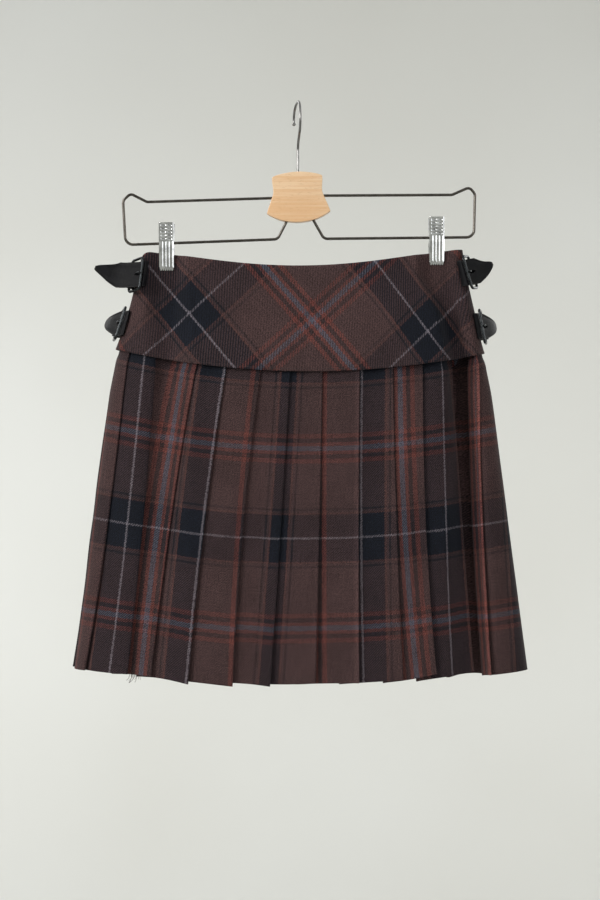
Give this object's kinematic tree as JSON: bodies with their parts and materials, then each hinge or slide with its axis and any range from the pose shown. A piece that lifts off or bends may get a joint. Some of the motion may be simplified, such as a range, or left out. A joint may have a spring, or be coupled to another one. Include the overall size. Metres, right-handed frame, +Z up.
{
  "type": "kilt skirt on a clip hanger",
  "caption": "Short pleated tartan kilt skirt with a bias yoke and buckled leather straps at the sides, hung by its waist from a wood and wire clip hanger.",
  "frame": {"origin": "inner top of the hanger's hook, where it hangs on a rail", "axes": "+Z up, against gravity; -Y is the skirt's front; +X is to the right of someone who faces the front"},
  "size_m": [0.4535, 0.1052, 0.5817],
  "materials": {
    "tartan": "woven wool tartan",
    "leather": "smooth black, soft sheen",
    "buckle_metal": "dark nickel plate",
    "steel_wire": "drawn wire, slightly dulled",
    "chrome": "bright plate",
    "beech": "clear satin lacquer"
  },
  "bodies": {
    "root": {"yoke_front": "tartan", "yoke_back": "tartan", "pleats_front": "tartan", "pleats_back": "tartan", "strap_left_upper": "leather", "strap_left_lower": "leather", "strap_right_upper": "leather", "strap_right_lower": "leather", "chape_left_upper": "leather", "chape_left_lower": "leather", "chape_right_upper": "leather", "chape_right_lower": "leather", "buckle_left_upper": "buckle_metal", "buckle_left_lower": "buckle_metal", "buckle_right_upper": "buckle_metal", "buckle_right_lower": "buckle_metal", "prong_left_upper": "buckle_metal", "prong_left_lower": "buckle_metal", "prong_right_upper": "buckle_metal", "prong_right_lower": "buckle_metal", "hanger_hook": "steel_wire", "hanger_wire_left": "steel_wire", "hanger_wire_right": "steel_wire", "hanger_plate": "beech", "clip_left_front": "chrome", "clip_left_back": "chrome", "clip_left_spring": "chrome", "clip_right_front": "chrome", "clip_right_back": "chrome", "clip_right_spring": "chrome"}
  },
  "joints": []
}
